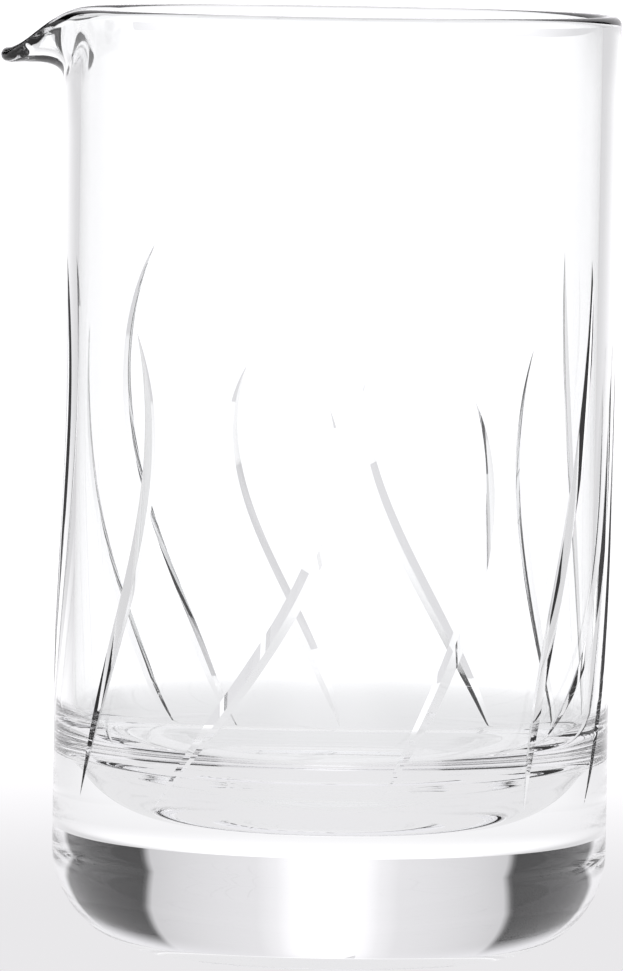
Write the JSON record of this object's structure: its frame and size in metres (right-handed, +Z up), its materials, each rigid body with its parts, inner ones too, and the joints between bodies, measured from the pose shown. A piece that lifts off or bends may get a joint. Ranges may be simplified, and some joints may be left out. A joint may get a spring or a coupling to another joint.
{
  "type": "mixing glass",
  "caption": "Tall cylindrical mixing glass with a heavy rounded base, a rounded rim, a small drooping pouring lip and curved V grooves cut round the outside.",
  "frame": {"origin": "centre of the plane the foot ring stands on, on the axis of the round wall", "axes": "+Z up along the wall's axis, out of the mouth; the pouring lip points along -X"},
  "size_m": [0.0989, 0.089, 0.15],
  "materials": {
    "glass": "clear, fire polished"
  },
  "bodies": {
    "root": {"mixing_glass": "glass"}
  },
  "joints": []
}
